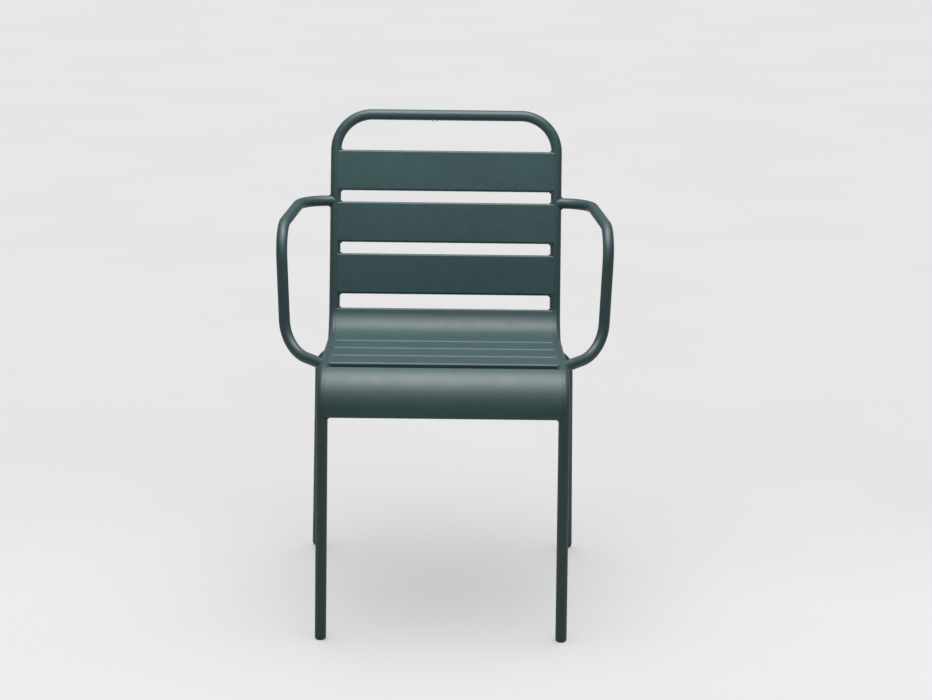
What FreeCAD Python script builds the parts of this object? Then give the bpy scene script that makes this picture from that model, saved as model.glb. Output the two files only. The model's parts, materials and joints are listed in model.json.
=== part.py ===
import FreeCAD, Part
import math
import os
import Sketcher
from FreeCAD import Placement, Rotation, Vector

# Stacking armchair of bent round steel tube and folded sheet slats, welded and powder coated.
# Frame: +Z up, origin on the floor under the middle of the chair. The sitter faces -Y,
# so the front legs are at -Y and the back leans towards +Y. "left" is -X and "right" is +X.

# Driving dimensions: alias, value (mm or degrees), what it sets.
DIMENSIONS = [
    ("tube_diameter", 19.0, "outer diameter of every tube"),
    ("tube_wall", 1.5, "wall of every tube"),
    ("bend_radius", 65.0, "centreline radius of the frame and arm bends"),
    ("leg_bend_radius", 30.0, "centreline radius of the two bends of the rear leg frame"),
    ("frame_spacing", 396.8, "distance between the side runs of the main frame"),
    ("front_foot_spacing", 402.0, "distance between the front feet"),
    ("front_leg_run", 450.0, "front foot to the seat corner, along the leg"),
    ("front_leg_lean", 2.0, "backward lean of the front legs"),
    ("seat_run", 426.0, "front seat corner to rear seat corner, along the rail"),
    ("seat_slope", 5.0, "backward slope of the seat rails"),
    ("back_run", 401.0, "rear seat corner to the top rail, along the upright"),
    ("back_lean", 14.0, "backward lean of the back uprights"),
    ("cross_setback", 4.5, "rear bend forward to the cross tube, along the rail"),
    ("rear_knee_spacing", 438.6, "distance between the upper corners of the rear leg frame"),
    ("rear_foot_spacing", 463.6, "distance between the rear feet"),
    ("rear_foot_reach", 503.0, "front feet to rear feet"),
    ("arm_back_station", 244.7, "rear seat corner to the arm joint, along the upright"),
    ("arm_rail_station", 107.0, "front seat corner to the arm joint, along the rail"),
    ("arm_rear_spread", 60.6, "side of the frame out to the rear corners of the arms"),
    ("arm_front_spread", 80.85, "side of the frame out to the upper front corners of the arms"),
    ("arm_low_spread", 71.1, "side of the frame out to the lower front corners of the arms"),
    ("arm_rear_advance", 13.3, "upright joints forward to the rear corners of the arms"),
    ("arm_front_setback", 99.7, "rail joints back to the upper front corners of the arms"),
    ("arm_low_setback", 67.7, "rail joints back to the lower front corners of the arms"),
    ("arm_rear_rise", 2.0, "upright joints up to the rear corners of the arms"),
    ("arm_front_rise", 214.6, "rail joints up to the upper front corners of the arms"),
    ("arm_low_rise", 9.6, "rail joints up to the lower front corners of the arms"),
    ("sheet_thickness", 1.5, "thickness of every slat"),
    ("sheet_step", 0.3, "step from the tube's face back to the slat's face"),
    ("slat_clearance", 0.4, "gap between a slat's end and the tube, bridged by the welds"),
    ("edge_radius", 3.2, "mid-surface radius of a slat's folded edges"),
    ("edge_depth", 10.0, "depth of a slat's folded edges"),
    ("slat_width", 72.5, "width of a straight slat"),
    ("back_gap", 20.5, "gap between the back slats"),
    ("back_top_gap", 55.0, "gap between the top rail and the upper back slat"),
    ("seat_gap", 10.5, "gap between the seat slats"),
    ("front_gap", 14.2, "gap between the front bend and the first seat slat"),
    ("roll_low_angle", 2.9, "front bend: where the roll slat's curve starts"),
    ("roll_top_angle", 77.0, "front bend: where the roll slat's curve ends"),
    ("curve_top_angle", 74.1, "rear bend: where the curve slat's curve ends"),
    ("front_glide_height", 4.5, "height of a front glide under its tube"),
    ("rear_glide_height", 7.0, "height of a rear glide under its tube"),
    ("glide_clearance", 0.1, "radial clearance of a glide's stem in its tube"),
    ("glide_stem", 18.0, "length of a glide's stem"),
    ("glide_sole_radius", 7.5, "radius of a glide's sole"),
    ("glide_shoulder", 1.2, "height of a glide's full-width shoulder"),
    ("slat_weld_radius", 1.6, "radius of a weld bead at a slat's corner"),
    ("slat_weld_start", 38.0, "angle round the tube from its front to a slat's weld bead"),
    ("slat_weld_turn", 58.0, "angle round the tube that a slat's weld bead covers"),
    ("tube_weld_radius", 2.0, "radius of a weld bead between two tubes"),
    ("tube_weld_length", 8.0, "length of a weld bead between two tubes"),
    ("vent_offset", 21.5, "vent hole to the middle of the top rail"),
    ("vent_diameter", 6.0, "diameter of the vent hole"),
    ("plug_head_diameter", 9.0, "diameter of the vent plug's head"),
    ("plug_head_height", 2.2, "height of the vent plug's head"),
    ("plug_clearance", 0.1, "radial clearance of the vent plug's stem"),
]

SLIDE = 2.0            # how far a coped tube starts from the axis of the tube it meets
FOLD_RUN = 0.3         # straight stretch between a curved slat's curve and its folded edge
STAND_OFF = 0.5        # share of a weld bead's radius from its axis to each surface it joins
CONTACT_STEP = 2.0     # share of a weld bead's radius from two tubes' contact to its axis
FLOOR_BLOCK = 60.0     # side of the block that trims a glide flat on the floor
SOLE_MARGIN = 2.5      # extra glide below the floor, trimmed off by that block
PLUG_SEAT = 0.6        # how far the vent plug's head reaches up the tube's round side
PLUG_TAIL = 1.0        # how far the vent plug's stem stands inside the tube
BEVEL = 0.8            # bevel of the glides' stems and of the vent plug's head


def make_sheet(doc):
    sheet = doc.addObject("Spreadsheet::Sheet", "dimensions")
    for row, (alias, value, note) in enumerate(DIMENSIONS, start=1):
        sheet.set(f"A{row}", note)
        sheet.set(f"B{row}", str(value))
        sheet.setAlias(f"B{row}", alias)
    doc.recompute()
    return sheet


class Layout:
    """Points and directions of the chair's side profile, worked out from the sheet."""

    def __init__(self, sheet):
        for alias, _, _ in DIMENSIONS:
            setattr(self, alias, float(getattr(sheet, alias)))
        self.tube_radius = self.tube_diameter / 2
        self.half_frame = self.frame_spacing / 2
        lean, slope, tilt = (math.radians(angle) for angle in
                             (self.front_leg_lean, self.seat_slope, self.back_lean))
        self.leg_up = Vector(0, math.sin(lean), math.cos(lean))
        self.rail_back = Vector(0, math.cos(slope), -math.sin(slope))
        self.back_up = Vector(0, math.sin(tilt), math.cos(tilt))
        top_y = (self.leg_up * self.front_leg_run + self.rail_back * self.seat_run
                 + self.back_up * self.back_run).y
        # The chair's depth runs from the front of the front feet to the back of the top rail.
        self.foot = Vector(0, -top_y / 2, 0)
        self.seat_front = self.foot + self.leg_up * self.front_leg_run
        self.seat_rear = self.seat_front + self.rail_back * self.seat_run
        self.top = self.seat_rear + self.back_up * self.back_run
        self.front_turn = self.leg_up.getAngle(self.rail_back)
        self.rear_turn = self.rail_back.getAngle(self.back_up)

    def front_reach(self):
        """Seat corner to the end of the front bend, along either run."""
        return self.bend_radius * math.tan(self.front_turn / 2)

    def rear_reach(self):
        """Rear corner to the end of the rear bend, along either run."""
        return self.bend_radius * math.tan(self.rear_turn / 2)

    def at(self, x, point):
        """A point of the side profile moved sideways to x."""
        return Vector(x, point.y, point.z)

    def rail(self, distance):
        """Point of the rail's axis at a distance behind the front corner."""
        return self.seat_front + self.rail_back * distance

    def upright(self, distance):
        """Point of the upright's axis at a distance above the rear corner."""
        return self.seat_rear + self.back_up * distance


def turned_left(direction):
    """Direction in the side profile that faces the sitter's side of a run."""
    return Vector(0, -direction.z, direction.y)


def bent_wire(points, radii):
    """Straight runs between the points, with a tangent arc at each inner point."""
    edges = []
    start = points[0]
    for before, corner, after, radius in zip(points, points[1:], points[2:], radii):
        back = (before - corner).normalize()
        ahead = (after - corner).normalize()
        half_angle = back.getAngle(ahead) / 2
        reach = radius / math.tan(half_angle)
        inward = (back + ahead).normalize()
        first = corner + back * reach
        middle = corner + inward * (radius / math.sin(half_angle) - radius)
        last = corner + ahead * reach
        edges.append(Part.LineSegment(start, first).toShape())
        edges.append(Part.Arc(first, middle, last).toShape())
        start = last
    edges.append(Part.LineSegment(start, points[-1]).toShape())
    return Part.Wire(edges)


def add_path(doc, name, points, radii):
    path = doc.addObject("Part::Feature", name)
    path.Shape = bent_wire(points, radii)
    return path


def add_sweep(doc, name, section, path):
    sweep = doc.addObject("Part::Sweep", name)
    sweep.Sections = [section]
    sweep.Spine = (path, [f"Edge{number + 1}" for number in range(len(path.Shape.Edges))])
    sweep.Solid = True
    sweep.Frenet = False
    return sweep


def add_cut(doc, name, base, tool):
    cut = doc.addObject("Part::Cut", name)
    cut.Base = base
    cut.Tool = tool
    return cut


def add_compound(doc, name, links):
    compound = doc.addObject("Part::Compound", name)
    compound.Links = links
    return compound


def add_rod(doc, name, path, points, radius_expression):
    """Solid round rod along a path; its section is a circle bound to the sheet.

    The circle starts on the side away from the middle of the chair, so the rod's seam
    stays clear of the weld beads, which could not be trimmed to it there.
    """
    along = points[1] - points[0]
    outwards = Vector(math.copysign(1, points[0].x), 0, 0)
    circle = doc.addObject("Part::Circle", f"{name}_section")
    circle.setExpression("Radius", radius_expression)
    circle.Placement = Placement(points[0],
                                 Rotation(outwards, along.cross(outwards), along, "ZXY"))
    return add_sweep(doc, name, circle, path)


def add_tube(doc, name, path, points):
    """Bent tube: an outer rod less its bore. Returns the tube and the outer rod."""
    outer = add_rod(doc, f"{name}_outer", path, points, "dimensions.tube_diameter / 2")
    bore = add_rod(doc, f"{name}_bore", path, points,
                   "dimensions.tube_diameter / 2 - dimensions.tube_wall")
    return add_cut(doc, f"{name}_hollow", outer, bore), outer


def add_cylinder(doc, name, start, direction, radius_expression, height_expression):
    cylinder = doc.addObject("Part::Cylinder", name)
    cylinder.setExpression("Radius", radius_expression)
    cylinder.setExpression("Height", height_expression)
    cylinder.Placement = Placement(start, Rotation(Vector(0, 0, 1), direction))
    return cylinder


def name_node(feature, label):
    feature.Label = label
    return feature


def leg_end(foot, knee, height):
    """Where a leg's tube stops so that its glide of that height reaches the floor."""
    return foot + (knee - foot).normalize() * height


def build_main_frame(doc, lay):
    """One tube: front foot, seat rail, upright and top rail, then the same down the other side.

    Returns the tube, its outer rod and the wider rod that the slats are coped to.
    """
    half_foot = lay.front_foot_spacing / 2
    side = []
    for sign in (-1, 1):
        corner = lay.at(sign * lay.half_frame, lay.seat_front)
        foot = lay.at(sign * half_foot, lay.foot)
        run = [leg_end(foot, corner, lay.front_glide_height), corner,
               lay.at(sign * lay.half_frame, lay.seat_rear), lay.at(sign * lay.half_frame, lay.top)]
        side.append(run)
    points = side[0] + side[1][::-1]
    path = add_path(doc, "main_frame_path", points, [lay.bend_radius] * 6)
    hollow, outer = add_tube(doc, "main_frame", path, points)
    cope = add_rod(doc, "main_frame_cope", path, points,
                   "dimensions.tube_diameter / 2 + dimensions.slat_clearance")
    vent = add_cylinder(doc, "vent_hole", lay.at(-lay.vent_offset, lay.top), lay.back_up * -1,
                        "dimensions.vent_diameter / 2", "dimensions.tube_diameter")
    frame = add_cut(doc, "main_frame_vented", hollow, vent)
    return name_node(frame, "main_frame_tube"), outer, cope


def cross_rise(lay, knee, foot):
    """How far a straight cross tube rises to touch the rails where it already bends down."""
    leg_down = (foot - knee).normalize()
    turn = Vector(math.copysign(1, knee.x), 0, 0).getAngle(leg_down)
    bend_start = abs(knee.x) - lay.leg_bend_radius * math.tan(turn / 2)
    past = max(0, lay.half_frame - bend_start)
    reach = lay.leg_bend_radius + lay.tube_diameter
    drop = reach - math.sqrt(reach ** 2 - past ** 2)
    return drop * -Vector(0, leg_down.y, leg_down.z).normalize().dot(turned_left(lay.rail_back))


def cross_station(lay):
    """Point of the rail's axis over the cross tube."""
    return lay.rail(lay.seat_run - lay.rear_reach() - lay.cross_setback)


def rear_knee(lay, sign):
    """Upper corner of the rear leg frame: its cross tube touches the rails from below."""
    face = turned_left(lay.rail_back)
    under = cross_station(lay) - face * lay.tube_diameter
    knee = lay.at(sign * lay.rear_knee_spacing / 2, under)
    return knee + face * cross_rise(lay, knee, rear_foot(lay, sign))


def rear_foot(lay, sign):
    return Vector(sign * lay.rear_foot_spacing / 2, lay.foot.y + lay.rear_foot_reach, 0)


def build_rear_leg_frame(doc, lay):
    """One tube: both rear legs and the cross tube under the seat rails."""
    ends = [leg_end(rear_foot(lay, sign), rear_knee(lay, sign), lay.rear_glide_height)
            for sign in (-1, 1)]
    points = [ends[0], rear_knee(lay, -1), rear_knee(lay, 1), ends[1]]
    path = add_path(doc, "rear_leg_frame_path", points, [lay.leg_bend_radius] * 2)
    hollow, outer = add_tube(doc, "rear_leg_frame", path, points)
    return name_node(hollow, "rear_leg_frame_tube"), outer


def arm_points(lay, sign):
    """Corners of an arm, from its joint on the upright to its joint on the seat rail."""
    joint_back = lay.at(sign * lay.half_frame, lay.upright(lay.arm_back_station))
    joint_rail = lay.at(sign * lay.half_frame, lay.rail(lay.arm_rail_station))
    rear = joint_back + Vector(sign * lay.arm_rear_spread, -lay.arm_rear_advance,
                               lay.arm_rear_rise)
    front = joint_rail + Vector(sign * lay.arm_front_spread, lay.arm_front_setback,
                                lay.arm_front_rise)
    low = joint_rail + Vector(sign * lay.arm_low_spread, lay.arm_low_setback,
                              lay.arm_low_rise)
    start = joint_back + (rear - joint_back).normalize() * SLIDE
    end = joint_rail + (low - joint_rail).normalize() * SLIDE
    return [start, rear, front, low, end]


def build_arm(doc, lay, side, sign, frame_outer):
    points = arm_points(lay, sign)
    path = add_path(doc, f"arm_{side}_path", points, [lay.bend_radius] * 3)
    hollow, outer = add_tube(doc, f"arm_{side}", path, points)
    arm = add_cut(doc, f"arm_{side}_coped", hollow, frame_outer)
    return name_node(arm, f"arm_tube_{side}"), outer


def slat_middle(lay):
    """Tube's axis to the middle of a slat's thickness."""
    return lay.tube_radius - lay.sheet_step - lay.sheet_thickness / 2


def folded_points(lay, run, first_direction, last_direction):
    """A slat's fold line: its run with the two folded edges turned back behind it."""
    depth = lay.edge_depth - lay.sheet_thickness / 2
    first_tip = run[0] - turned_left(first_direction) * depth
    last_tip = run[-1] - turned_left(last_direction) * depth
    return [first_tip] + run + [last_tip]


def build_slat(doc, lay, label, run, directions, curve_radii, cope):
    """Folded sheet that spans the frame, with its ends coped clear of the side tubes."""
    points = folded_points(lay, run, *directions)
    radii = [lay.edge_radius] + curve_radii + [lay.edge_radius]
    path = add_path(doc, f"{label}_path", points, radii)
    section = doc.addObject("Part::Plane", f"{label}_section")
    section.setExpression("Length", "dimensions.frame_spacing")
    section.setExpression("Width", "dimensions.sheet_thickness")
    across = Vector(1, 0, 0)
    through = directions[0]
    corner = points[0] - across * lay.half_frame - through * (lay.sheet_thickness / 2)
    section.Placement = Placement(corner, Rotation(across, through, across.cross(through), "XYZ"))
    blank = add_sweep(doc, f"{label}_blank", section, path)
    slat = add_cut(doc, f"{label}_coped", blank, cope)
    return name_node(slat, label)


def straight_run(lay, start, direction):
    """Mid-surface run of a straight slat whose lower or front edge is at start on the axis."""
    middle = turned_left(direction) * slat_middle(lay)
    inset = lay.sheet_thickness / 2
    return [start + middle + direction * inset,
            start + middle + direction * (lay.slat_width - inset)]


class Bend:
    """One bend of the side profile, measured by the angle turned since its start."""

    def __init__(self, lay, start, direction, sense):
        self.lay = lay
        self.direction = direction
        self.sense = sense
        self.centre = start + turned_left(direction) * (sense * lay.bend_radius)

    def heading(self, angle):
        return Rotation(Vector(1, 0, 0), self.sense * angle).multVec(self.direction)

    def offset_radius(self, offset):
        """Radius of the curve that lies offset in front of the tube's axis."""
        return self.lay.bend_radius - self.sense * offset

    def point(self, angle, offset):
        radius = self.offset_radius(offset)
        return self.centre - turned_left(self.heading(angle)) * (self.sense * radius)

    def corner(self, first, last, offset):
        """Where the tangents at two angles meet."""
        reach = self.offset_radius(offset) * math.tan(math.radians(last - first) / 2)
        return self.point(first, offset) + self.heading(first) * reach


def front_bend(lay):
    start = lay.seat_front - lay.leg_up * lay.front_reach()
    return Bend(lay, start, lay.leg_up, -1)


def rear_bend(lay):
    start = lay.seat_rear - lay.rail_back * lay.rear_reach()
    return Bend(lay, start, lay.rail_back, 1)


def fold_stretch(lay):
    """End of a curved slat's curve to the middle of its folded edge's sheet."""
    return lay.edge_radius + FOLD_RUN


def build_front_roll(doc, lay, cope):
    """The rolled slat over the front bend."""
    bend = front_bend(lay)
    middle = slat_middle(lay)
    low, top = lay.roll_low_angle, lay.roll_top_angle
    directions = (bend.heading(low), bend.heading(top))
    run = [bend.point(low, middle) - directions[0] * fold_stretch(lay),
           bend.corner(low, top, middle),
           bend.point(top, middle) + directions[1] * fold_stretch(lay)]
    return build_slat(doc, lay, "front_roll_slat", run, directions,
                      [bend.offset_radius(middle)], cope)


def seat_slat_start(lay, number):
    """Front edge of a seat slat, counted from the front, as a distance along the rail."""
    return lay.front_reach() + lay.front_gap + number * (lay.slat_width + lay.seat_gap)


def build_curve_slat(doc, lay, number, cope):
    """The slat that follows the rear bend from the seat up into the back."""
    bend = rear_bend(lay)
    middle = slat_middle(lay)
    top = lay.curve_top_angle
    directions = (lay.rail_back, bend.heading(top))
    front_edge = seat_slat_start(lay, number) + lay.sheet_thickness / 2
    run = [lay.rail(front_edge) + turned_left(lay.rail_back) * middle,
           bend.corner(0, top, middle),
           bend.point(top, middle) + directions[1] * fold_stretch(lay)]
    return build_slat(doc, lay, "seat_back_curve_slat", run, directions,
                      [bend.offset_radius(middle)], cope)


def back_slat_start(lay, number):
    """Lower edge of a back slat, counted from the top, as a distance along the upright."""
    upper_edge = lay.back_run - lay.tube_radius - lay.back_top_gap
    return upper_edge - (number + 1) * lay.slat_width - number * lay.back_gap


def straight_slats(lay):
    """Label, start on the axis and direction of each straight slat."""
    seat = [(f"seat_slat_{name}", lay.rail(seat_slat_start(lay, number)), lay.rail_back)
            for number, name in enumerate(("front", "middle", "rear"))]
    back = [(f"back_slat_{name}", lay.upright(back_slat_start(lay, number)), lay.back_up)
            for number, name in enumerate(("upper", "middle", "lower"))]
    return seat, back


def straight_edges(lay, start, direction):
    """A straight slat's two long edges: point on the tube's axis and direction outwards."""
    return [(start, direction * -1), (start + direction * lay.slat_width, direction)]


def curve_edge(lay, bend, angle, way):
    """The long edge past the end of a slat's curve, before it (way -1) or after it (way 1)."""
    outwards = bend.heading(angle) * way
    return bend.point(angle, 0) + outwards * (fold_stretch(lay) + lay.sheet_thickness / 2), outwards


def leg_spread(lay, point):
    """How far outside the seat rails a front leg's axis is, beside a point of the side profile."""
    depth = (lay.seat_front - point).dot(lay.leg_up)
    return (lay.front_foot_spacing / 2 - lay.half_frame) * depth / lay.front_leg_run


def front_roll_edges(lay):
    """The roll slat's two long edges. The low one lies beside the legs, which may splay."""
    bend = front_bend(lay)
    low, outwards = curve_edge(lay, bend, lay.roll_low_angle, -1)
    return [(lay.at(leg_spread(lay, low), low), outwards),
            curve_edge(lay, bend, lay.roll_top_angle, 1)]


def curve_slat_edges(lay, number):
    return [(lay.rail(seat_slat_start(lay, number)), lay.rail_back * -1),
            curve_edge(lay, rear_bend(lay), lay.curve_top_angle, 1)]


def trimmed(doc, bead, joined):
    """A weld bead less each of the pieces that it joins."""
    for number, piece in enumerate(joined):
        bead = add_cut(doc, f"{bead.Name}_trim_{number}", bead, piece)
    return bead


def add_slat_beads(doc, lay, slat, edges, frame_outer):
    """A weld bead round the inner side of each side tube, along each long edge of a slat.

    An edge's x is how far outside the side runs the tube's axis is there.
    """
    stand_off = lay.slat_weld_radius * STAND_OFF
    start_angle = math.radians(lay.slat_weld_start)
    beads = []
    for number, (edge, outwards) in enumerate(edges):
        along = outwards if number else outwards * -1
        front = turned_left(along)
        for sign in (-1, 1):
            inwards = Vector(-sign, 0, 0)
            first = front * math.cos(start_angle) + inwards * math.sin(start_angle)
            bead = doc.addObject("Part::Torus", f"{slat.Label}_bead_{len(beads)}")
            bead.setExpression("Radius1", "dimensions.tube_diameter / 2"
                                          f" + dimensions.slat_weld_radius * {STAND_OFF}")
            bead.setExpression("Radius2", "dimensions.slat_weld_radius")
            bead.setExpression("Angle3", "dimensions.slat_weld_turn")
            axis = front.cross(inwards)
            middle = lay.at(sign * (lay.half_frame + edge.x), edge + outwards * stand_off)
            bead.Placement = Placement(middle, Rotation(first, axis.cross(first), axis, "XYZ"))
            beads.append(trimmed(doc, bead, [slat, frame_outer]))
    return beads


def add_crotch_bead(doc, lay, name, middle, axis):
    start = middle - axis * (lay.tube_weld_length / 2)
    return add_cylinder(doc, name, start, axis, "dimensions.tube_weld_radius",
                        "dimensions.tube_weld_length")


def add_arm_beads(doc, lay, side, sign, joined):
    """Weld beads in the corners between an arm's ends and the tubes they are coped to."""
    points = arm_points(lay, sign)
    joints = [(points[0], points[1], lay.back_up), (points[4], points[3], lay.rail_back)]
    beads = []
    for end, inner, tube_direction in joints:
        arm_direction = (inner - end).normalize()
        joint = end - arm_direction * SLIDE
        spread = lay.tube_radius / math.sin(arm_direction.getAngle(tube_direction))
        axis = arm_direction.cross(tube_direction).normalize()
        for way in (-1, 1):
            middle = joint + (arm_direction + tube_direction * way) * spread
            bead = add_crotch_bead(doc, lay, f"arm_{side}_bead_{len(beads)}", middle, axis)
            beads.append(trimmed(doc, bead, joined))
    return beads


def add_cross_tube_beads(doc, lay, joined):
    """Weld beads in front of and behind the points where the cross tube touches the rails."""
    face = turned_left(lay.rail_back)
    contact = cross_station(lay) - face * lay.tube_radius
    step = lay.tube_weld_radius * CONTACT_STEP
    drop = lay.tube_weld_radius * STAND_OFF
    beads = []
    for sign in (-1, 1):
        for way in (-1, 1):
            spot = contact + lay.rail_back * (way * step) - face * drop
            bead = add_crotch_bead(doc, lay, f"cross_tube_bead_{len(beads)}",
                                   lay.at(sign * lay.half_frame, spot), Vector(1, 0, 0))
            beads.append(trimmed(doc, bead, joined))
    return beads


def build_welds(doc, label, beads):
    """Weld beads as one node."""
    return name_node(add_compound(doc, f"{label}_group", beads), label)


def expression_value(owner, expression):
    return float(owner.evalExpression(expression))


def revolved_body(doc, name, outline):
    """Body turned about its own Z axis from a closed outline of (radius, height) expressions."""
    body = doc.addObject("PartDesign::Body", name)
    sketch = body.newObject("Sketcher::SketchObject", f"{name}_outline")
    plane = next(item for item in body.Origin.OriginFeatures if item.Role == "XZ_Plane")
    sketch.AttachmentSupport = [(plane, "")]
    sketch.MapMode = "FlatFace"
    corners = [Vector(expression_value(body, radius), expression_value(body, height), 0)
               for radius, height in outline]
    count = len(corners)
    for number in range(count):
        sketch.addGeometry(Part.LineSegment(corners[number], corners[(number + 1) % count]))
    for number in range(count):
        sketch.addConstraint(Sketcher.Constraint("Coincident", number, 2, (number + 1) % count, 1))
    for number, (radius, height) in enumerate(outline):
        for kind, value, expression in (("DistanceX", corners[number].x, radius),
                                        ("DistanceY", corners[number].y, height)):
            index = sketch.addConstraint(Sketcher.Constraint(kind, -1, 1, number, 1, value))
            sketch.setExpression(f"Constraints[{index}]", expression)
    turn = body.newObject("PartDesign::Revolution", f"{name}_turn")
    turn.Profile = sketch
    turn.ReferenceAxis = (sketch, ["V_Axis"])
    turn.Angle = 360
    return body


def glide_outline(height_alias):
    """Glide turned about the leg's axis: sole, flared head, shoulder and stem."""
    head = "dimensions.tube_diameter / 2"
    sole = "dimensions.glide_sole_radius"
    stem = "(dimensions.tube_diameter / 2 - dimensions.tube_wall - dimensions.glide_clearance)"
    seat = f"(dimensions.{height_alias} + {SOLE_MARGIN})"
    top = f"({seat} + dimensions.glide_stem)"
    return [("0", "0"), (sole, "0"), (sole, f"{SOLE_MARGIN}"),
            (head, f"{seat} - dimensions.glide_shoulder"), (head, seat), (stem, seat),
            (stem, f"{top} - {BEVEL}"), (f"{stem} - {BEVEL}", top), ("0", top)]


def build_glide(doc, name, foot, knee, height_alias):
    """Plastic glide pressed into a leg and trimmed flat on the floor."""
    up = (knee - foot).normalize()
    body = revolved_body(doc, f"{name}_turned", glide_outline(height_alias))
    body.Placement = Placement(foot - up * SOLE_MARGIN, Rotation(Vector(0, 0, 1), up))
    block = doc.addObject("Part::Box", f"{name}_floor")
    block.Length = block.Width = block.Height = FLOOR_BLOCK
    block.Placement.Base = foot - Vector(FLOOR_BLOCK / 2, FLOOR_BLOCK / 2, FLOOR_BLOCK)
    return name_node(add_cut(doc, f"{name}_trimmed", body, block), name)


def build_vent_plug(doc, lay, frame):
    """Plug in the vent hole under the top rail, its head trimmed to the tube's round side."""
    head = "dimensions.plug_head_diameter / 2"
    stem = "(dimensions.vent_diameter / 2 - dimensions.plug_clearance)"
    seat = f"(dimensions.plug_head_height + {PLUG_SEAT})"
    tip = f"({seat} + dimensions.tube_wall + {PLUG_TAIL})"
    outline = [("0", "0"), (f"{head} - {BEVEL}", "0"), (head, f"{BEVEL}"),
               (head, seat), (stem, seat), (stem, tip), ("0", tip)]
    body = revolved_body(doc, "vent_plug_turned", outline)
    base = lay.at(-lay.vent_offset, lay.top) - lay.back_up * (lay.tube_radius + lay.plug_head_height)
    body.Placement = Placement(base, Rotation(Vector(0, 0, 1), lay.back_up))
    return name_node(add_cut(doc, "vent_plug_trimmed", body, frame), "vent_plug")


def build_slats(doc, lay, cope, frame_outer):
    """The seat slats and the back slats, each list with its weld beads."""
    seat, back = straight_slats(lay)
    roll = build_front_roll(doc, lay, cope)
    curve = build_curve_slat(doc, lay, len(seat), cope)
    seat_slats = [roll, curve]
    seat_beads = add_slat_beads(doc, lay, roll, front_roll_edges(lay), frame_outer)
    seat_beads += add_slat_beads(doc, lay, curve, curve_slat_edges(lay, len(seat)), frame_outer)
    back_slats = []
    back_beads = []
    for group, slats, beads in ((seat, seat_slats, seat_beads), (back, back_slats, back_beads)):
        for label, start, direction in group:
            slat = build_slat(doc, lay, label, straight_run(lay, start, direction),
                              (direction, direction), [], cope)
            slats.append(slat)
            beads += add_slat_beads(doc, lay, slat, straight_edges(lay, start, direction),
                                    frame_outer)
    return seat_slats, seat_beads, back_slats, back_beads


def build_glides(doc, lay):
    glides = []
    for side, sign in (("left", -1), ("right", 1)):
        foot = lay.at(sign * lay.front_foot_spacing / 2, lay.foot)
        corner = lay.at(sign * lay.half_frame, lay.seat_front)
        glides.append(build_glide(doc, f"glide_front_{side}", foot, corner,
                                  "front_glide_height"))
        glides.append(build_glide(doc, f"glide_rear_{side}", rear_foot(lay, sign),
                                  rear_knee(lay, sign), "rear_glide_height"))
    return glides


def build_chair(doc):
    lay = Layout(make_sheet(doc))
    frame, frame_outer, cope = build_main_frame(doc, lay)
    rear_frame, rear_outer = build_rear_leg_frame(doc, lay)
    nodes = [frame, rear_frame]
    arm_beads = []
    for side, sign in (("left", -1), ("right", 1)):
        arm, outer = build_arm(doc, lay, side, sign, frame_outer)
        nodes.append(arm)
        arm_beads += add_arm_beads(doc, lay, side, sign, [frame_outer, outer])
    seat_slats, seat_beads, back_slats, back_beads = build_slats(doc, lay, cope, frame_outer)
    cross_beads = add_cross_tube_beads(doc, lay, [frame_outer, rear_outer])
    nodes += seat_slats + back_slats
    nodes.append(build_welds(doc, "seat_slat_welds", seat_beads))
    nodes.append(build_welds(doc, "back_slat_welds", back_beads))
    nodes.append(build_welds(doc, "arm_welds", arm_beads))
    nodes.append(build_welds(doc, "rear_leg_welds", cross_beads))
    nodes += build_glides(doc, lay)
    nodes.append(build_vent_plug(doc, lay, frame))
    return nodes


def check_document(doc, nodes):
    """Stop on any failed object or on a node without a sound shape."""
    failed = [item.Name for item in doc.Objects
              if "Invalid" in item.State or "Error" in item.State]
    if failed:
        raise RuntimeError(f"failed objects: {failed}")
    for node in nodes:
        if node.Shape.isNull() or not node.Shape.isValid() or not node.Shape.Solids:
            raise RuntimeError(f"no sound solid in {node.Label}")


def main():
    doc = FreeCAD.newDocument("stacking_armchair")
    nodes = build_chair(doc)
    doc.recompute()
    check_document(doc, nodes)
    os.makedirs("parts", exist_ok=True)
    for node in nodes:
        node.Shape.exportStep(f"parts/{node.Label}.step")
        print(f"{node.Label}: {len(node.Shape.Solids)} solids, {node.Shape.Volume / 1000:.1f} cm3")


main()
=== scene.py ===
import json
import math

import bmesh
import bpy
from mathutils import Matrix, Vector, noise


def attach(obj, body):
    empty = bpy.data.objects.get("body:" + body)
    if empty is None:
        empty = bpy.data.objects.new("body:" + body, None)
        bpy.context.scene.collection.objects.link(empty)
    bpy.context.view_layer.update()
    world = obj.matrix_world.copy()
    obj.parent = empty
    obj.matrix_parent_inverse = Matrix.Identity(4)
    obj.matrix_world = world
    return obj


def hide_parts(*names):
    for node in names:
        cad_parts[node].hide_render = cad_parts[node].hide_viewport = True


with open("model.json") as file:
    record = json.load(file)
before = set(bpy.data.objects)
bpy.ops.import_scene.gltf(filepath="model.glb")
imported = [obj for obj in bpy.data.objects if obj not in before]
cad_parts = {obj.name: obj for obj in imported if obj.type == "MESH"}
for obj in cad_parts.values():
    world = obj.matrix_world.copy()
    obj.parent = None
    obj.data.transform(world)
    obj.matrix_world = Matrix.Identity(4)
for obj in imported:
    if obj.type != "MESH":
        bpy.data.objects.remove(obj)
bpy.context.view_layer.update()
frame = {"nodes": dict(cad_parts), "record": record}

# Looks of the stacking armchair. Metres, +Z up, the chair's front faces -Y.

SCENE = bpy.context.scene

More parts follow.
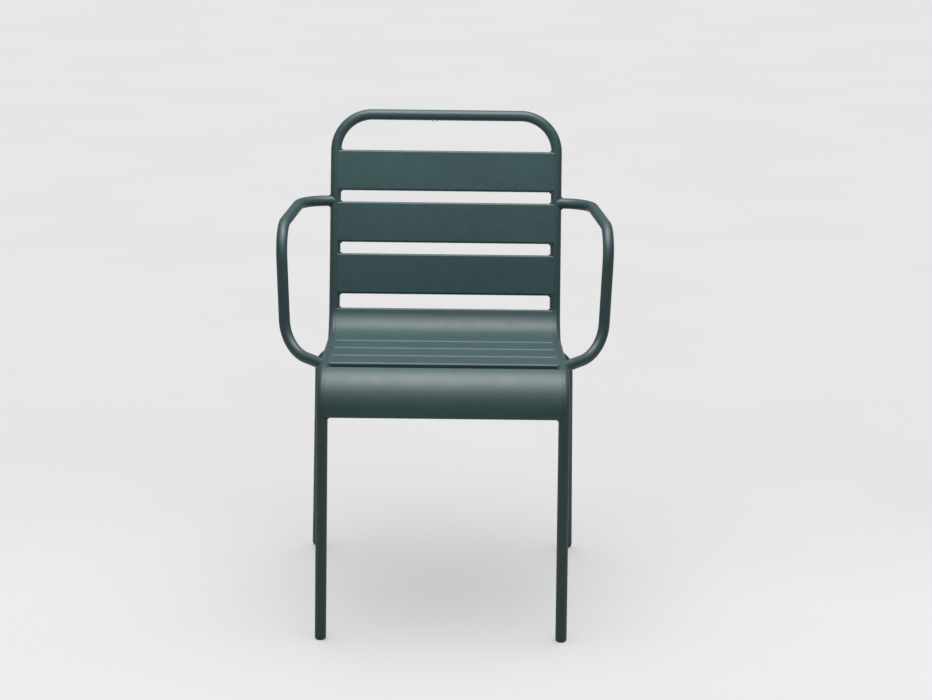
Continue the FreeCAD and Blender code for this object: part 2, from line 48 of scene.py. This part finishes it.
# Camera: where it stands and how it is turned, and its focal length for a 36 mm sensor.
CAMERA_PLACE = Vector((0.0072, -4.2669, 1.4914))
CAMERA_YAW = -0.0072
CAMERA_PITCH = 0.2431
CAMERA_ROLL = 0.013
CAMERA_LENS = 97.97

# Floor: its side, and how strongly it glows as painted light though it is no lamp, easing from
# near to far between two places along Y.
FLOOR_SIDE = 60.0
FLOOR_PAINTED_GLOW_NEAR = 0.31
FLOOR_PAINTED_GLOW_FAR = 0.25
FLOOR_PAINTED_GLOW_EASE = (-0.1, 0.5)

# Room light: strength at the horizon in front of and behind the chair and overhead, how fast
# it falls off from overhead, and the strength that the camera sees.
SKY_FRONT = 0.04
SKY_BACK = 0.16
SKY_ZENITH = 2.35
SKY_SHARPNESS = 4.0
SKY_SHOWN = 0.80

# Soft box over the seat.
SOFT_BOX_PLACE = (0.0, -0.1, 1.8)
SOFT_BOX_TARGET = (0.0, -0.1, 0.0)
SOFT_BOX_SIZE = (1.0, 1.0)
SOFT_BOX_POWER = 33.0

MM = 0.001

# Powder coat: colours, noise features per metre, depths of the bumps, and rubbed edges.
COAT = (0.0240, 0.0530, 0.0550)
COAT_DARK = (0.0200, 0.0445, 0.0460)
COAT_LIGHT = (0.0350, 0.0660, 0.0680)
COAT_RUBBED = (0.060, 0.100, 0.100)
WAVES = 14.0
DRIFT = 5.0
MOTTLE = 60.0
PATCHES = 150.0
PEEL = 420.0
GRAIN = 2200.0
WAVE_DEPTH = 2.0 * MM
PEEL_DEPTH = 0.4 * MM
GRAIN_DEPTH = 0.08 * MM
EDGE_RADIUS = 0.7 * MM
MOST_RUBBED = 0.55
COAT_ROUGHNESS = (0.40, 0.52)
COAT_SPECULAR = 0.34

# Painted shading of each powder-coated slot (tubes darkened as painted shade, welds lightened as
# painted light), and the slats' waviness.
TUBE_PAINTED_SHADE = 0.85
WELD_PAINTED_LIGHT = 1.08
SLAT_WAVINESS = 0.25

# Plastics: colours, noise features per metre, bump depth, and how far up a glide is scuffed.
GLIDE_BLACK = (0.012, 0.013, 0.013, 1.0)
GLIDE_SCUFFED = (0.10, 0.095, 0.085, 1.0)
GLIDE_PEBBLE = 900.0
GLIDE_DIRT = 90.0
SCUFF_HEIGHT = 4.0 * MM
PLUG_DARK = (0.66, 0.72, 0.86, 1.0)
PLUG_LIGHT = (0.80, 0.85, 0.95, 1.0)
PLUG_CLOUD = 500.0
PLASTIC_DEPTH = 0.1 * MM

# Remade nodes, by slot: voxel size and rounds of smoothing.
REMADE = {"weld_coat": (0.28 * MM, 2), "glide_plastic": (0.35 * MM, 5),
          "plug_plastic": (0.18 * MM, 5)}

# Weld beads: ripple pitch and height, how far a ripple bows, and the height and size of lumps.
RIPPLE_PITCH = 1.3 * MM
RIPPLE_HEIGHT = 0.22 * MM
RIPPLE_BOW = 0.5
LUMP_HEIGHT = 0.18 * MM
LUMP_SIZE = 1.6 * MM


def make_camera():
    data = bpy.data.cameras.new("camera")
    data.sensor_width = 36.0
    data.lens = CAMERA_LENS
    data.clip_start = 0.05
    data.clip_end = 200.0
    camera = bpy.data.objects.new("camera", data)
    turn = (Matrix.Rotation(CAMERA_YAW, 4, "Z")
            @ Matrix.Rotation(math.pi / 2 - CAMERA_PITCH, 4, "X")
            @ Matrix.Rotation(CAMERA_ROLL, 4, "Z"))
    camera.matrix_world = Matrix.Translation(CAMERA_PLACE) @ turn
    SCENE.collection.objects.link(camera)
    SCENE.camera = camera


class Nodes:
    """A material's node tree, with short calls that add a node and link its inputs."""

    def __init__(self, name):
        self.material = bpy.data.materials.new(name)
        self.material.use_nodes = True
        self.tree = self.material.node_tree
        self.shader = self.tree.nodes["Principled BSDF"]

    def add(self, kind, settings=None, **inputs):
        node = self.tree.nodes.new(kind)
        for key, value in (settings or {}).items():
            setattr(node, key, value)
        for key, value in inputs.items():
            self.put(node, key.replace("_", " "), value)
        return node

    def put(self, node, key, value):
        socket = node.inputs[int(key)] if key.isdigit() else node.inputs[key]
        if isinstance(value, bpy.types.NodeSocket):
            self.tree.links.new(value, socket)
        else:
            socket.default_value = value

    def surface(self, **inputs):
        for key, value in inputs.items():
            self.put(self.shader, key.replace("_", " "), value)

    def place(self):
        return self.add("ShaderNodeTexCoord").outputs["Object"]

    def noise(self, vector, scale, detail=3.0, roughness=0.5):
        node = self.add("ShaderNodeTexNoise", Vector=vector, Scale=scale, Detail=detail,
                        Roughness=roughness)
        return node.outputs["Fac"]

    def ramp(self, value, low, high, to_low=0.0, to_high=1.0):
        node = self.add("ShaderNodeMapRange", {"clamp": True}, Value=value)
        for key, number in (("From Min", low), ("From Max", high),
                            ("To Min", to_low), ("To Max", to_high)):
            node.inputs[key].default_value = number
        return node.outputs["Result"]

    def mix(self, factor, first, second):
        node = self.add("ShaderNodeMix", {"data_type": "RGBA"})
        self.put(node, "0", factor)
        self.put(node, "6", first)
        self.put(node, "7", second)
        return node.outputs[2]

    def math(self, operation, first, second):
        node = self.add("ShaderNodeMath", {"operation": operation})
        self.put(node, "0", first)
        self.put(node, "1", second)
        return node.outputs[0]

    def edges(self, radius):
        """How sharply the surface turns within a radius: 0 on a flat, higher on an edge."""
        rounded = self.add("ShaderNodeBevel", {"samples": 4}, Radius=radius).outputs["Normal"]
        plain = self.add("ShaderNodeNewGeometry").outputs["Normal"]
        product = self.add("ShaderNodeVectorMath", {"operation": "DOT_PRODUCT"})
        self.put(product, "0", rounded)
        self.put(product, "1", plain)
        return self.math("SUBTRACT", 1.0, product.outputs["Value"])

    def bump(self, height, strength, distance, normal=None):
        node = self.add("ShaderNodeBump", Strength=strength, Distance=distance, Height=height)
        if normal is not None:
            self.put(node, "Normal", normal)
        return node.outputs["Normal"]


def toned(colour, painted_shading):
    """A colour made lighter or darker, with the alpha that a socket takes."""
    return tuple(painted_shading * channel for channel in colour) + (1.0,)


def powder_coat(name, painted_shading=1.0, waviness=0.0):
    """Satin powder coat: orange peel, grain, drift of colour, rubbed edges and, on sheet, waves.
    Its shading factor darkens the whole coat as painted shade when below 1 and lightens it as
    painted light when above 1.
    """
    nodes = Nodes(name)
    place = nodes.place()
    drift = nodes.noise(place, DRIFT, 2.0)
    mottle = nodes.noise(place, MOTTLE, 4.0, 0.6)
    grain = nodes.noise(place, GRAIN, 2.0)
    peel = nodes.noise(place, PEEL, 3.0, 0.55)
    shade = nodes.math("ADD", nodes.math("MULTIPLY", drift, 0.6),
                       nodes.math("MULTIPLY", mottle, 0.4))
    # All coat colours are scaled by the shading factor: painted shade on the tubes, painted light
    # on the welds.
    base = nodes.mix(nodes.ramp(shade, 0.35, 0.65),
                     toned(COAT_DARK, painted_shading), toned(COAT, painted_shading))
    base = nodes.mix(nodes.ramp(grain, 0.55, 0.8, 0.0, 0.35), base,
                     toned(COAT_LIGHT, painted_shading))
    patches = nodes.ramp(nodes.noise(place, PATCHES, 4.0, 0.65), 0.42, 0.62)
    sharp = nodes.ramp(nodes.edges(EDGE_RADIUS), 0.06, 0.35, 0.0, MOST_RUBBED)
    base = nodes.mix(nodes.math("MULTIPLY", sharp, patches), base, toned(COAT_RUBBED, painted_shading))
    rough = nodes.ramp(nodes.math("ADD", mottle, nodes.math("MULTIPLY", grain, 0.5)),
                       0.4, 1.1, *COAT_ROUGHNESS)
    normal = nodes.bump(peel, 0.35, PEEL_DEPTH)
    normal = nodes.bump(grain, 0.25, GRAIN_DEPTH, normal)
    if waviness:
        normal = nodes.bump(nodes.noise(place, WAVES, 1.0), waviness, WAVE_DEPTH, normal)
    nodes.surface(Base_Color=base, Roughness=rough, Normal=normal, Metallic=0.0,
                  Specular_IOR_Level=COAT_SPECULAR)
    return nodes.material


def glide_plastic():
    """Black moulded plastic: pebbled, and scuffed pale where it meets the floor."""
    nodes = Nodes("black_glide_plastic")
    place = nodes.place()
    pebble = nodes.noise(place, GLIDE_PEBBLE, 3.0, 0.6)
    dirt = nodes.noise(place, GLIDE_DIRT, 4.0, 0.6)
    height = nodes.add("ShaderNodeSeparateXYZ", Vector=place).outputs["Z"]
    low = nodes.ramp(height, 0.0, SCUFF_HEIGHT, 1.0, 0.0)
    scuff = nodes.math("MULTIPLY", low, nodes.ramp(dirt, 0.4, 0.7))
    base = nodes.mix(scuff, GLIDE_BLACK, GLIDE_SCUFFED)
    nodes.surface(Base_Color=base, Roughness=nodes.ramp(dirt, 0.3, 0.7, 0.42, 0.62),
                  Normal=nodes.bump(pebble, 0.4, PLASTIC_DEPTH))
    return nodes.material


def plug_plastic():
    """Pale, slightly clouded plastic that lets a little light through."""
    nodes = Nodes("clear_plug_plastic")
    place = nodes.place()
    cloud = nodes.noise(place, PLUG_CLOUD, 2.0)
    base = nodes.mix(nodes.ramp(cloud, 0.3, 0.7), PLUG_DARK, PLUG_LIGHT)
    nodes.surface(Base_Color=base, Roughness=nodes.ramp(cloud, 0.3, 0.7, 0.12, 0.25),
                  Normal=nodes.bump(cloud, 0.1, PLASTIC_DEPTH), Transmission_Weight=0.15)
    return nodes.material


def floor_material():
    """Pale matt floor, softly mottled. It glows weakly though it is no lamp: painted light,
    stronger near the chair, that lightens the chair's shadow on it.
    """
    nodes = Nodes("pale_floor")
    place = nodes.place()
    soft = nodes.noise(place, 1.5, 3.0)
    base = nodes.mix(nodes.ramp(soft, 0.3, 0.7), (0.60, 0.60, 0.605, 1.0),
                     (0.63, 0.63, 0.635, 1.0))
    depth = nodes.add("ShaderNodeSeparateXYZ", Vector=place).outputs["Y"]
    # Painted light: the floor glows more strongly near the chair, lightening the chair's shadow.
    painted_glow = nodes.ramp(depth, *FLOOR_PAINTED_GLOW_EASE, FLOOR_PAINTED_GLOW_NEAR, FLOOR_PAINTED_GLOW_FAR)
    nodes.surface(Base_Color=base, Roughness=nodes.ramp(soft, 0.3, 0.7, 0.85, 0.95),
                  Emission_Color=(1.0, 1.0, 1.0, 1.0), Emission_Strength=painted_glow)
    return nodes.material


def paint(piece, material):
    piece.data.materials.clear()
    piece.data.materials.append(material)


def make_floor():
    bpy.ops.mesh.primitive_plane_add(size=FLOOR_SIDE, location=(0, 0, 0))
    floor = bpy.context.object
    floor.name = "floor"
    paint(floor, floor_material())


def add_chair_light(place, target, size, power):
    """Soft box close above the chair. It lights only the chair, so the floor stays even."""
    data = bpy.data.lights.new("soft_box", "AREA")
    data.shape = "RECTANGLE"
    data.size, data.size_y = size
    data.energy = power
    light = bpy.data.objects.new("soft_box", data)
    light.location = place
    light.rotation_mode = "QUATERNION"
    light.rotation_quaternion = (Vector(target) - Vector(place)).to_track_quat("-Z", "Y")
    light.visible_camera = False
    SCENE.collection.objects.link(light)
    lit = bpy.data.collections.new("lit_by_soft_box")
    light.light_linking.receiver_collection = lit
    return lit


def make_sky():
    """Even white room: bright overhead, dim at the horizon and dimmest behind the camera.

    Seen directly it is one pale tone, like the far floor.
    """
    world = bpy.data.worlds.new("studio")
    world.use_nodes = True
    tree = world.node_tree
    back = tree.nodes["Background"]

    def link(operation, first, second):
        node = tree.nodes.new("ShaderNodeMath")
        node.operation = operation
        for socket, value in zip(node.inputs, (first, second)):
            if isinstance(value, bpy.types.NodeSocket):
                tree.links.new(value, socket)
            else:
                socket.default_value = value
        return node.outputs[0]

    split = tree.nodes.new("ShaderNodeSeparateXYZ")
    direction = tree.nodes.new("ShaderNodeTexCoord").outputs["Generated"]
    tree.links.new(direction, split.inputs[0])
    backward = link("MULTIPLY", link("ADD", split.outputs["Y"], 1.0), 0.5)
    horizon = link("ADD", SKY_FRONT, link("MULTIPLY", backward, SKY_BACK - SKY_FRONT))
    height = link("MAXIMUM", split.outputs["Z"], 0.0)
    zenith = link("MULTIPLY", link("POWER", height, SKY_SHARPNESS), SKY_ZENITH)
    seen = tree.nodes.new("ShaderNodeLightPath").outputs["Is Camera Ray"]
    lighting = link("MULTIPLY", link("ADD", horizon, zenith), link("SUBTRACT", 1.0, seen))
    shown = link("MULTIPLY", seen, SKY_SHOWN)
    tree.links.new(link("ADD", lighting, shown), back.inputs["Strength"])
    back.inputs["Color"].default_value = (1.0, 1.0, 1.0, 1.0)
    SCENE.world = world
    SCENE.view_settings.view_transform = "Standard"


def remade(name, voxel, smoothing):
    """A finer mesh of a CAD node, its sharp corners rounded, that stands for the node."""
    mesh = frame["nodes"][name].data.copy()
    rough = bpy.data.objects.new(f"{name}_rough", mesh)
    SCENE.collection.objects.link(rough)
    remesh = rough.modifiers.new("remesh", "REMESH")
    remesh.mode = "VOXEL"
    remesh.voxel_size = voxel
    smooth = rough.modifiers.new("smooth", "SMOOTH")
    smooth.factor = 0.5
    smooth.iterations = smoothing
    ready = rough.evaluated_get(bpy.context.evaluated_depsgraph_get())
    fine = bpy.data.meshes.new_from_object(ready)
    bpy.data.objects.remove(rough)
    piece = bpy.data.objects.new(f"{name}_fine", fine)
    SCENE.collection.objects.link(piece)
    for face in fine.polygons:
        face.use_smooth = True
    return piece


def islands(mesh):
    """The separate lumps of a mesh, each as a list of vertices."""
    unseen = set(mesh.verts)
    while unseen:
        lump = [unseen.pop()]
        for vertex in lump:
            for edge in vertex.link_edges:
                other = edge.other_vert(vertex)
                if other in unseen:
                    unseen.remove(other)
                    lump.append(other)
        yield lump


def ripple(piece):
    """Bowed ripples across each weld bead, and small lumps over them."""
    mesh = bmesh.new()
    mesh.from_mesh(piece.data)
    mesh.normal_update()
    for lump in islands(mesh):
        middle = sum((vertex.co for vertex in lump), Vector()) / len(lump)
        first = max(lump, key=lambda vertex: (vertex.co - middle).length).co.copy()
        last = max(lump, key=lambda vertex: (vertex.co - first).length).co.copy()
        axis = (last - first).normalized()
        moves = []
        for vertex in lump:
            along = (vertex.co - middle).dot(axis)
            aside = (vertex.co - middle - axis * along).length
            wave = math.sin(math.tau * (along + RIPPLE_BOW * aside) / RIPPLE_PITCH)
            lumps = noise.noise(vertex.co / LUMP_SIZE)
            moves.append(vertex.normal * (RIPPLE_HEIGHT / 2 * wave + LUMP_HEIGHT * lumps))
        for vertex, move in zip(lump, moves):
            vertex.co += move
    mesh.to_mesh(piece.data)
    mesh.free()


make_camera()
make_sky()
make_floor()
LIT = add_chair_light(SOFT_BOX_PLACE, SOFT_BOX_TARGET, SOFT_BOX_SIZE, SOFT_BOX_POWER)

# The tubes get a darker copy of the coat as painted shade, and the welds a lighter copy as
# painted light; the slats keep the plain coat.
TUBE_COAT = powder_coat("powder_coat_tube_painted_shade", TUBE_PAINTED_SHADE)
SLAT_COAT = powder_coat("powder_coat_slat", waviness=SLAT_WAVINESS)
WELD_COAT = powder_coat("powder_coat_weld_painted_light", WELD_PAINTED_LIGHT)
SLOT_PAINT = {"tube_coat": TUBE_COAT, "slat_coat": SLAT_COAT, "weld_coat": WELD_COAT,
              "glide_plastic": glide_plastic(), "plug_plastic": plug_plastic()}

for part in frame["record"]["subparts"]:
    slot = part["material_slot"]
    piece = frame["nodes"][part["node"]]
    if slot in REMADE:
        piece = remade(part["node"], *REMADE[slot])
        if slot == "weld_coat":
            ripple(piece)
        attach(piece, "root")
        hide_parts(part["node"])
    paint(piece, SLOT_PAINT[slot])
    LIT.objects.link(piece)
